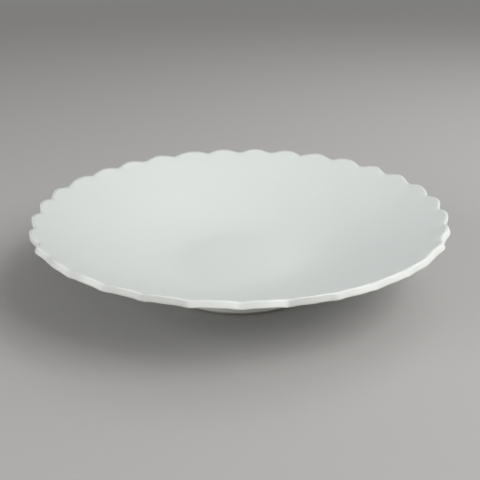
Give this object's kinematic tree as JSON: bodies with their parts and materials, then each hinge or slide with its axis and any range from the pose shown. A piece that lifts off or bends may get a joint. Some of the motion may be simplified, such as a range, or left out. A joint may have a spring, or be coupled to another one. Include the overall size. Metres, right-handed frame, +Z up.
{
  "type": "deep plate",
  "caption": "Round deep plate of white glazed ceramic with a scalloped petal rim, a smoothly rising wall and a low foot ring, for serving food.",
  "frame": {"origin": "middle of the foot ring's standing face, on the surface that the plate rests on", "axes": "+Z up along the plate's axis; X and Y pass through notches between petals"},
  "size_m": [0.2386, 0.2386, 0.0439],
  "materials": {
    "biscuit": "matte fired clay, covered by glaze",
    "foot_biscuit": "matte fired clay, bare and finely ground at the standing face",
    "slip": "matte fired slip, covered by glaze",
    "glaze": "soft-gloss cool white glaze",
    "base_glaze": "soft-gloss cool white glaze"
  },
  "bodies": {
    "root": {"dish_body": "biscuit", "foot_ring": "foot_biscuit", "luting_slip": "slip", "glaze_coat": "glaze", "base_glaze": "base_glaze"}
  },
  "joints": []
}
